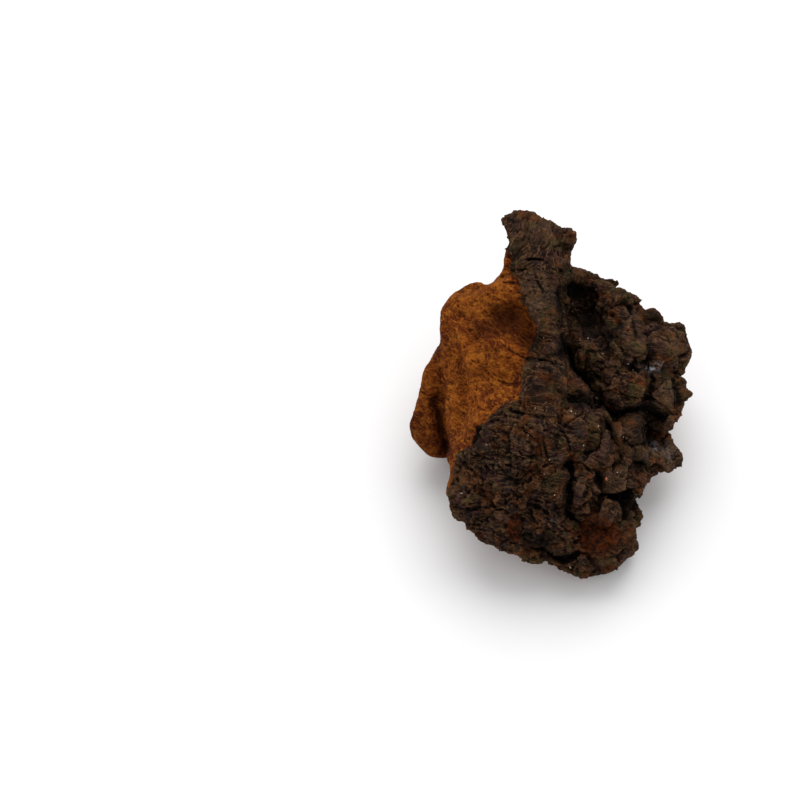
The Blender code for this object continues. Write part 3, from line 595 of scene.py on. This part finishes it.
def place_forms(mesh):
    """Moulds the knobs and dents, sets the ledges, cuts the cracks, and marks the crust, the level
    cut and the patches of colour for what comes after."""
    points, normals, to_drawing = coordinates(mesh)
    flat = points[:, :2]
    front = np.clip(normals[:, 2] * 2 + 0.5, 0, 1)
    level = (points @ to_drawing.T)[:, 2] + FACE_MIDDLE[2] / MM
    cut = np.clip(1 - level / 0.5, 0, 1)
    edge = np.array([*CRUST_EDGE, (60.0, -40.0), (60.0, 30.0)])
    away = distance_to_line(flat, CRUST_EDGE)[0]
    from_edge = np.where(inside(flat, edge), away, -away)
    moved = points.copy()
    for _, middle, half, height in FORMS:
        reach = np.linalg.norm((flat - middle) / half, axis=1)
        moved[:, 2] += height * np.exp(-(reach**2)) * front
    for _, height, reach, line in LEDGES:
        from_line, share = side_of_line(flat, line)
        taper = np.clip(np.minimum(share, 1 - share) * 6, 0, 1)
        proud = 0.5 + 0.5 * np.tanh(from_line / LEDGE_SHARPNESS)
        moved[:, 2] += height * taper * proud * np.exp(-np.abs(from_line) / reach) * front
    # Dark patches of painted shade, and below them painted shade along each crack, for the finish
    dark = patches(points, front, DARK)
    for _, half_width, depth, line in CRACKS:
        reach, share = distance_to_line(flat, line)
        taper = np.clip(np.minimum(share, 1 - share) * 5 + 0.3, 0, 1)
        moved[:, 2] -= depth * taper * np.exp(-((reach / half_width) ** 2)) * front
        # Painted shade that darkens each crack, kept with the dark patches
        crack_shade = min(depth, 1) * taper * np.exp(-((reach / half_width / 1.5) ** 2)) * front
        dark = np.maximum(dark, crack_shade)
    mesh.vertices.foreach_set("co", (MM * moved @ to_drawing.T + FACE_MIDDLE).ravel())
    mesh.update()
    paint(mesh, "from_edge", from_edge)
    paint(mesh, "facing", normals[:, 2])
    paint(mesh, "cut", cut)
    paint(mesh, "calm", patches(points, front, CALM))
    paint(mesh, "dark", dark)
    paint(mesh, "rust", patches(points, front, RUST))
    paint(mesh, "pale", patches(points, front, PALE))
    paint(mesh, "sheen", patches(points, front, SHEEN))
    return mesh


def socket_in(group, name, kind, value=None):
    socket = group.interface.new_socket(name=name, in_out="INPUT", socket_type=kind)
    if value is not None:
        socket.default_value = value
    return socket


def along_the_grain(tree, place):
    """A place turned so that X follows the fibres of the flesh, which swirl."""
    wavy = tree.warped(tree.warped(place, 0.2, 1.8), 1.3, 0.25)
    return tree.add(
        "ShaderNodeVectorRotate", {"rotation_type": "Z_AXIS"}, {"Vector": wavy, "Angle": math.radians(28)})


def crust_share(tree, place):
    """1 on the crust and 0 on the flesh, with a ragged edge. The broken back is flesh."""
    wander = tree.noise(place, 0.9, 4.0, 0.6) - 0.5
    from_edge = tree.add("GeometryNodeInputNamedAttribute", {"data_type": "FLOAT"}, {"Name": "from_edge"})
    facing = tree.add("GeometryNodeInputNamedAttribute", {"data_type": "FLOAT"}, {"Name": "facing"})
    face = (from_edge + wander * 1.6).step(-0.12, 0.12)
    back = (facing + wander * 0.5).step(-0.42, -0.3)
    return face * back


def layered(tree, place):
    """A place stretched so that X follows the layers of the bark, which are upright on the horn and
    nearly level below it, and wander."""
    wavy = tree.warped(tree.warped(tree.warped(place, 0.14, 2.4), 0.5, 0.5), 2.0, 0.12)
    height = tree.add("ShaderNodeSeparateXYZ", None, {"Vector": place}, "Y")
    turn = height.step(13.0, 19.0) * math.radians(72) - math.radians(14)
    turned = tree.add(
        "ShaderNodeVectorRotate", {"rotation_type": "Z_AXIS"}, {"Vector": wavy, "Angle": 0 - turn})
    return tree.stretched(turned, 0.3, 1.5, 0.9)


def crust_relief(tree, place):
    """Blocks, layers and roughness of the crust, in millimetres, and the blocks' chances."""
    across = tree.add("ShaderNodeSeparateXYZ", None, {"Vector": place}, "X")
    broken = across.step(0.0, 5.0)
    low_down = 1 - across.output("Y").step(-12.0, -6.0)
    calm = tree.add("GeometryNodeInputNamedAttribute", {"data_type": "FLOAT"}, {"Name": "calm"})
    along = layered(tree, place)
    ragged = tree.warped(tree.warped(place, 0.3, 0.9), 1.6, 0.16)
    large, tint = tree.chips(ragged, 0.22, 0.32, 0.3)
    small, shade = tree.chips(ragged, 0.52, 0.4, 0.12)
    crease = 1 - tree.cells(ragged, 0.22, "DISTANCE_TO_EDGE").step(0.0, 0.05)
    layers, layer_shade = tree.chips(along, 0.75, 0.2, 0.12)
    flakes, _ = tree.chips(tree.warped(place, 0.8, 0.5), 1.1, 0.25, 0.1)
    ridges = tree.ridges(along, 0.9) - 0.47
    rough = tree.noise(place, 0.8, 6.0, 0.62) - 0.5
    blocks = large * (broken * 0.5 + 0.5) + small * (low_down * 0.4 + 0.3) - crease * (broken * 0.3)
    wild = blocks + (layers + flakes) * (1 - broken * 0.5) + rough * 0.8
    relief = wild * (1 - calm * 0.65) + ridges * (0.2 - broken * 0.06)
    return relief, tint * 0.4 + shade * 0.3 + layer_shade * 0.3


def flesh_relief(tree, place):
    """Fibres, dashes and roughness of the flesh, in millimetres."""
    turned = along_the_grain(tree, place)
    ridges = tree.ridges(tree.stretched(turned, 0.6, 1.3, 1.0), 1.6) - 0.47
    dash = 1 - tree.cells(tree.stretched(turned, 0.5, 1.7, 1.2), 1.0).step(0.08, 0.3)
    rough = tree.noise(place, 0.4, 6.0, 0.62)
    return ridges * 0.2 - dash * 0.28 + (rough - 0.5) * 1.2


def relief_tree():
    """Moves the skin out by the relief of the crust and the flesh, and stores the crust's share and
    how far each point stands out, for the finish."""
    group = bpy.data.node_groups.new("bark of the chunk", "GeometryNodeTree")
    group.interface.new_socket(name="Geometry", in_out="OUTPUT", socket_type="NodeSocketGeometry")
    socket_in(group, "Geometry", "NodeSocketGeometry")
    socket_in(group, "Crust relief", "NodeSocketFloat", 1.0)
    socket_in(group, "Flesh relief", "NodeSocketFloat", 1.0)
    socket_in(group, "Crust step", "NodeSocketFloat", CRUST_STEP)
    socket_in(group, "Growth", "NodeSocketFloat", GROWTH)
    tree = Tree(group)
    given = group.nodes.new("NodeGroupInput")
    chunk = Value(tree, given.outputs["Geometry"])
    position = tree.add("GeometryNodeInputPosition")
    normal = tree.vector("NORMALIZE", tree.add(
        "GeometryNodeBlurAttribute", {"data_type": "FLOAT_VECTOR"},
        {"Value": tree.add("GeometryNodeInputNormal"), "Iterations": 12}))
    cut = tree.add("GeometryNodeInputNamedAttribute", {"data_type": "FLOAT"}, {"Name": "cut"})
    place = tree.drawing_place(position)
    crust = crust_share(tree, place)
    chips, chance = crust_relief(tree, place)
    high = chips * Value(tree, given.outputs["Crust relief"])
    low = flesh_relief(tree, place) * Value(tree, given.outputs["Flesh relief"])
    step = (crust - 0.5) * 2 * Value(tree, given.outputs["Crust step"])
    growth = Value(tree, given.outputs["Growth"])
    facing = tree.add("GeometryNodeInputNamedAttribute", {"data_type": "FLOAT"}, {"Name": "facing"})
    front = facing.step(0.0, 0.7)
    relief = (crust * high + (1 - crust) * low) * (front * 0.4 + 0.6)
    height = (relief + (step + growth) * front) * (1 - cut)
    offset = tree.add(
        "ShaderNodeVectorMath", {"operation": "SCALE"}, {"Vector": normal, "Scale": height * MM})
    marked = stored(tree, stored(tree, chunk, "crust", crust), "chance", chance)
    moved = tree.add("GeometryNodeSetPosition", None, {"Geometry": marked, "Offset": offset})
    fine = stored(tree, moved, "standing", how_proud(tree, FINE_REACH))
    told = stored(tree, fine, "rising", how_proud(tree, BROAD_REACH))
    return finished(tree, group, told, chaga_material())


def finished(tree, group, geometry, material):
    real = tree.add("GeometryNodeRealizeInstances", None, {"Geometry": geometry})
    covered = tree.add("GeometryNodeSetMaterial", None, {"Geometry": real, "Material": material})
    out = group.nodes.new("NodeGroupOutput")
    tree.links.new(covered.socket, out.inputs[0])
    return group


def stored(tree, geometry, name, value):
    return tree.add(
        "GeometryNodeStoreNamedAttribute", {"data_type": "FLOAT", "domain": "POINT"},
        {"Geometry": geometry, "Name": name, "Value": value})


def how_proud(tree, rounds):
    """How far a point stands out of the skin around it, in millimetres, below nothing in a hollow."""
    even = tree.add(
        "GeometryNodeBlurAttribute", {"data_type": "FLOAT_VECTOR"},
        {"Value": tree.add("GeometryNodeInputPosition"), "Iterations": rounds})
    lift = tree.vector("SUBTRACT", tree.add("GeometryNodeInputPosition"), even)
    facing = tree.add("GeometryNodeInputNormal")
    return tree.add(
        "ShaderNodeVectorMath", {"operation": "DOT_PRODUCT"}, {0: lift, 1: facing}, "Value") / MM


def add_relief(chunk):
    relief = chunk.modifiers.new("relief", "NODES")
    relief.node_group = relief_tree()
    chunk.data = evaluated(chunk)
    chunk.modifiers.clear()
    for vertex in chunk.data.vertices:
        vertex.co.z = max(vertex.co.z, 0)


def crust_colour(tree, place, mark):
    """Charcoal brown; painted shade makes it black in the cracks and hollows, painted highlights and
    shade follow its layers, and what stands out is lighter brown, partly dust and partly painted highlight.
    """
    patchy = tree.noise(place, 0.24, 6.0, 0.66)
    grains = tree.noise(place, 2.2, 6.0, 0.75)
    hue = tree.noise(place, 0.36, 6.0, 0.6)
    other_hue = tree.noise(tree.vector("ADD", place, (40.0, 17.0, 5.0)), 0.32, 6.0, 0.6)
    blotchy = tree.noise(tree.vector("ADD", place, (11.0, 52.0, 3.0)), 0.5, 6.0, 0.66)
    along = layered(tree, place)
    ridges = tree.ridges(along, 1.2, 4.0)
    _, flake = tree.chips(along, 1.7, 0.0, 0.0)
    base = tree.mix(patchy.step(0.36, 0.64), linear(37, 23, 15), linear(75, 49, 32))
    brown = tree.mix(hue.step(0.5, 0.62) * 0.85, base, linear(104, 52, 20))
    purple = tree.mix((1 - hue.step(0.38, 0.5)) * 0.85, brown, linear(64, 34, 40))
    olive = tree.mix(other_hue.step(0.52, 0.62) * 0.75, purple, linear(60, 58, 30))
    grey = tree.mix((1 - other_hue.step(0.36, 0.46)) * 0.5, olive, linear(48, 54, 54))
    sooty = tree.mix((1 - blotchy.step(0.4, 0.5)) * 0.7, grey, linear(18, 12, 10))
    tan = tree.mix(blotchy.step(0.54, 0.64) * 0.4, sooty, linear(112, 82, 54))
    flaky = tree.mix((1 - flake.step(0.2, 0.45)) * 0.2, tan, linear(18, 12, 10))
    shaded = tree.mix((1 - mark["chance"].step(0.25, 0.6)) * 0.5, flaky, linear(22, 15, 11))
    # Painted shade in the grooves between the layers and painted highlights on their ridges
    lined = tree.mix((1 - ridges.step(0.2, 0.5)) * 0.2, shaded, linear(18, 12, 8))
    lit = tree.mix(ridges.step(0.56, 0.8) * 0.5, lined, linear(128, 92, 62))
    # Paler patches: partly the crust's own paler colour, partly painted light on knobs that face the light
    pale = tree.mix(mark["pale"] * grains.step(0.35, 0.6), lit, linear(102, 80, 58))
    # Lighter brown on what stands out: partly dust, partly painted highlight on the raised edges
    lighter_brown = tree.mix(
        mark["standing"].step(0.01, 0.12) * grains.step(0.4, 0.6) * 0.4, pale, linear(100, 74, 52))
    speckled = tree.mix((1 - grains.step(0.32, 0.46)) * 0.5, lighter_brown, linear(16, 11, 8))
    # Painted shade: black in the fine crevices, in the broad hollows, and in the dark patches and cracks
    deep = tree.mix((1 - mark["standing"].step(-0.12, 0.0)) * 0.7, speckled, linear(10, 6, 4))
    hollow = tree.mix((1 - mark["rising"].step(-0.5, 0.15)) * 0.7, deep, linear(10, 6, 4))
    return tree.mix(mark["dark"].step(0.0, 0.95) * 0.92, hollow, linear(12, 8, 6))


def flesh_colour(tree, place, mark):
    """Rusty brown with paler fibres and dark dashes, painted shade in its crevices and dark patches,
    and golden patches that are partly its own colour and partly painted light.
    """
    turned = along_the_grain(tree, place)
    patchy = tree.noise(place, 0.22, 6.0, 0.66)
    ridges = tree.ridges(tree.stretched(turned, 0.55, 1.3, 1.0), 1.5, 4.0)
    mottled = tree.noise(tree.stretched(turned, 0.7, 1.2, 1.0), 0.9, 8.0, 0.75)
    grains = tree.noise(place, 3.0, 5.0, 0.75)
    base = tree.mix(patchy.step(0.4, 0.6), linear(80, 32, 9), linear(128, 64, 18))
    yellow = tree.mix(mottled.step(0.5, 0.6) * 0.8, base, linear(156, 92, 28))
    red = tree.mix((1 - mottled.step(0.4, 0.48)) * 0.85, yellow, linear(70, 23, 8))
    fibrous = tree.mix(ridges.step(0.56, 0.8) * 0.45, red, linear(176, 104, 40))
    streaked = tree.mix((1 - ridges.step(0.1, 0.4)) * 0.4, fibrous, linear(56, 21, 6))
    speckled = tree.mix((1 - grains.step(0.34, 0.46)) * 0.5, streaked, linear(52, 19, 6))
    # Golden patches: partly the flesh's own colour, partly painted light on its top and ridges
    golden = tree.mix(mark["pale"] * grains.step(0.4, 0.6) * 0.7, speckled, linear(154, 90, 28))
    # Painted shade in the fine crevices, the pit, the flesh by the leaf and the lobe
    deep = tree.mix((1 - mark["standing"].step(-0.1, 0.0)) * 0.7, golden, linear(46, 16, 4))
    return tree.mix(mark["dark"] * 0.85, deep, linear(44, 15, 6))


def chaga_material():
    """Crust and flesh in one skin, told apart by the crust's share at each point."""
    material = bpy.data.materials.new("chaga crust and flesh")
    material.use_nodes = True
    tree = Tree(material.node_tree)
    shader = tree.nodes["Principled BSDF"]
    place = tree.drawing_place(tree.add("ShaderNodeTexCoord", None, None, "Object"))
    mark = {name: tree.add("ShaderNodeAttribute", {"attribute_name": name}, None, "Fac")
            for name in ("crust", "chance", "standing", "rising", "dark", "pale", "rust", "sheen")}
    flesh = flesh_colour(tree, place, mark)
    ragged = (mark["rust"] * 1.2 - tree.noise(place, 0.8, 6.0, 0.7) * 0.8).step(0.0, 0.6)
    clotted = tree.noise(place, 0.9, 6.0, 0.75).step(0.38, 0.66)
    rusty = tree.mix(clotted, linear(24, 9, 4), linear(92, 40, 12))
    bark = tree.mix(ragged * 0.85, crust_colour(tree, place, mark), rusty)
    streaks = tree.noise(place, 1.2, 4.0, 0.6).step(0.42, 0.6)
    # Painted highlight: pale grey glints in the colour of the shiny patches; the coat and roughness below give
    # their real gloss
    shiny = tree.mix(mark["sheen"] * streaks, bark, linear(152, 150, 154))
    sharp_crust = (mark["crust"] + (tree.noise(place, 2.6, 4.0, 0.6) - 0.5) * 0.5).step(0.4, 0.6)
    tree.links.new(tree.mix(sharp_crust, flesh, shiny).socket, shader.inputs["Base Color"])
    tree.links.new((0.9 - mark["sheen"] * 0.4).socket, shader.inputs["Roughness"])
    tree.links.new((mark["sheen"] * streaks * 0.5).socket, shader.inputs["Coat Weight"])
    shader.inputs["Coat Roughness"].default_value = 0.3
    shader.inputs["Specular IOR Level"].default_value = 0.06
    grit = tree.noise(place, 2.4, 8.0, 0.75)
    chip, _ = tree.chips(tree.warped(place, 2.2, 0.2), 2.8, 0.8, 0.13)
    bump = tree.add(
        "ShaderNodeBump", None,
        {"Strength": 1.0, "Distance": MM, "Height": grit * 0.22 + chip * mark["crust"] * 0.5}, "Normal")
    tree.links.new(bump.socket, shader.inputs["Normal"])
    return material


def crumb_material():
    """Pale mineral crumbs and a few salmon ones."""
    material = bpy.data.materials.new("pale crumbs")
    material.use_nodes = True
    tree = Tree(material.node_tree)
    shader = tree.nodes["Principled BSDF"]
    place = tree.drawing_place(tree.add("ShaderNodeTexCoord", None, None, "Object"))
    warmth = tree.add("ShaderNodeAttribute", {"attribute_name": "warmth"}, None, "Fac")
    colour = tree.mix(warmth, linear(178, 172, 164), linear(196, 112, 74))
    worn = tree.mix(tree.noise(place, 3.0, 4.0, 0.6).step(0.4, 0.7) * 0.5, colour, linear(110, 80, 60))
    tree.links.new(worn.socket, shader.inputs["Base Color"])
    shader.inputs["Roughness"].default_value = 0.5
    return material


def make_specks(chunk):
    """Small pale crumbs that cling to the crust."""
    surface = BVHTree.FromPolygons(
        [vertex.co for vertex in chunk.data.vertices], [face.vertices for face in chunk.data.polygons])
    chance = np.random.default_rng(7)
    shape = bmesh.new()
    warmths = []
    for middle, radius, warmth in SPECKS:
        found, *_ = surface.ray_cast(face_point(*middle, 60.0), -FACE_OUT)
        if found is None:
            continue
        crumb = bmesh.ops.create_icosphere(shape, subdivisions=1, radius=0.6 * radius * MM)["verts"]
        stretch = chance.uniform(0.5, 1.2, 3)
        for vertex in crumb:
            vertex.co *= chance.uniform(0.6, 1.2)
            vertex.co = found + Vector(np.array(vertex.co) * stretch)
            warmths.append(warmth)
    mesh = bpy.data.meshes.new("pale_crumbs")
    shape.to_mesh(mesh)
    shape.free()
    paint(mesh, "warmth", np.array(warmths))
    mesh.materials.append(crumb_material())
    return dressed(add_object("pale_crumbs", mesh))


def crumb_tree(material):
    """Small broken chips that stand on the crust, thrown with a fixed seed."""
    group = bpy.data.node_groups.new("crumbs on the crust", "GeometryNodeTree")
    group.interface.new_socket(name="Geometry", in_out="OUTPUT", socket_type="NodeSocketGeometry")
    socket_in(group, "Geometry", "NodeSocketGeometry")
    socket_in(group, "Crumbs per square metre", "NodeSocketFloat", 1.4e5)
    socket_in(group, "Smallest", "NodeSocketFloat", 0.12 * MM)
    socket_in(group, "Largest", "NodeSocketFloat", 0.4 * MM)
    socket_in(group, "Seed", "NodeSocketInt", 3)
    tree = Tree(group)
    given = group.nodes.new("NodeGroupInput")
    name = {socket.name: Value(tree, socket) for socket in given.outputs if socket.name}
    crust = tree.add("GeometryNodeInputNamedAttribute", {"data_type": "FLOAT"}, {"Name": "crust"})
    cut = tree.add("GeometryNodeInputNamedAttribute", {"data_type": "FLOAT"}, {"Name": "cut"})
    where = crust.step(0.85, 1.0) * (1 - cut).step(0.9, 1.0)
    points = tree.add(
        "GeometryNodeDistributePointsOnFaces", None,
        {"Mesh": name["Geometry"], "Density": where * name["Crumbs per square metre"], "Seed": name["Seed"]})
    lump = tree.add("GeometryNodeMeshIcoSphere", None, {"Radius": 1.0, "Subdivisions": 2})
    dent = tree.noise(tree.add("GeometryNodeInputPosition"), 1.3, 1.0, output=1)
    broken = tree.add(
        "GeometryNodeSetPosition", None,
        {"Geometry": lump, "Offset": tree.vector("SUBTRACT", dent, (0.5, 0.5, 0.5))})
    turn = tree.add(
        "FunctionNodeRandomValue", {"data_type": "FLOAT_VECTOR"},
        {"Min": (0, 0, 0), "Max": (6.28, 6.28, 6.28), "Seed": name["Seed"]})
    size = tree.add(
        "FunctionNodeRandomValue", {"data_type": "FLOAT"},
        {"Min_001": 0.0, "Max_001": 1.0, "Seed": name["Seed"] + 1}, "Value_001")
    across = name["Smallest"] + (name["Largest"] - name["Smallest"]) * size**3
    thrown = tree.add(
        "GeometryNodeInstanceOnPoints", None,
        {"Points": points, "Instance": broken, "Rotation": turn,
         "Scale": tree.add("ShaderNodeCombineXYZ", None, {"X": across, "Y": across * 0.8, "Z": across * 0.6})})
    return finished(tree, group, thrown, material)


def chip_material():
    """Charcoal crumbs, some of them dusty brown."""
    material = bpy.data.materials.new("charcoal crumbs")
    material.use_nodes = True
    tree = Tree(material.node_tree)
    shader = tree.nodes["Principled BSDF"]
    place = tree.drawing_place(tree.add("ShaderNodeTexCoord", None, None, "Object"))
    patchy = tree.noise(place, 0.9, 4.0, 0.7)
    grains = tree.noise(place, 4.0, 4.0, 0.7)
    base = tree.mix(patchy.step(0.4, 0.6), linear(38, 26, 20), linear(72, 50, 34))
    lighter_brown = tree.mix(grains.step(0.5, 0.7) * 0.6, base, linear(104, 80, 58))
    tree.links.new(lighter_brown.socket, shader.inputs["Base Color"])
    shader.inputs["Roughness"].default_value = 0.85
    shader.inputs["Specular IOR Level"].default_value = 0.1
    return material


def make_crumbs(chunk):
    """Loose crumbs of crust all over the crust."""
    crumbs = add_object("crust_crumbs", chunk.data.copy())
    thrown = crumbs.modifiers.new("crumbs", "NODES")
    thrown.node_group = crumb_tree(chip_material())
    crumbs.data = evaluated(crumbs)
    crumbs.modifiers.clear()
    return dressed(crumbs)


def dressed(piece):
    """A finished piece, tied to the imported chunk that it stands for."""
    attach(piece, "root")
    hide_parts("chaga_chunk")
    return piece


def make_chunk(node):
    chunk = fine_skin(node)
    place_forms(chunk.data)
    add_relief(chunk)
    thin_skin(chunk)
    chunk.data.shade_smooth()
    return dressed(chunk)


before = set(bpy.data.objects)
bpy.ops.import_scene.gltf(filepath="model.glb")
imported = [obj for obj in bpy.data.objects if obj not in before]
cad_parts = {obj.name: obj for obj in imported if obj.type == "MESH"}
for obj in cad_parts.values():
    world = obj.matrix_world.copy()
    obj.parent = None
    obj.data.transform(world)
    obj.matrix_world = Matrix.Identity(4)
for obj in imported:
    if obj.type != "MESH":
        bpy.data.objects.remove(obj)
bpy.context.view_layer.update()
make_camera()
make_floor()
make_lights()
chunk = make_chunk(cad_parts["chaga_chunk"])
make_specks(chunk)
make_crumbs(chunk)
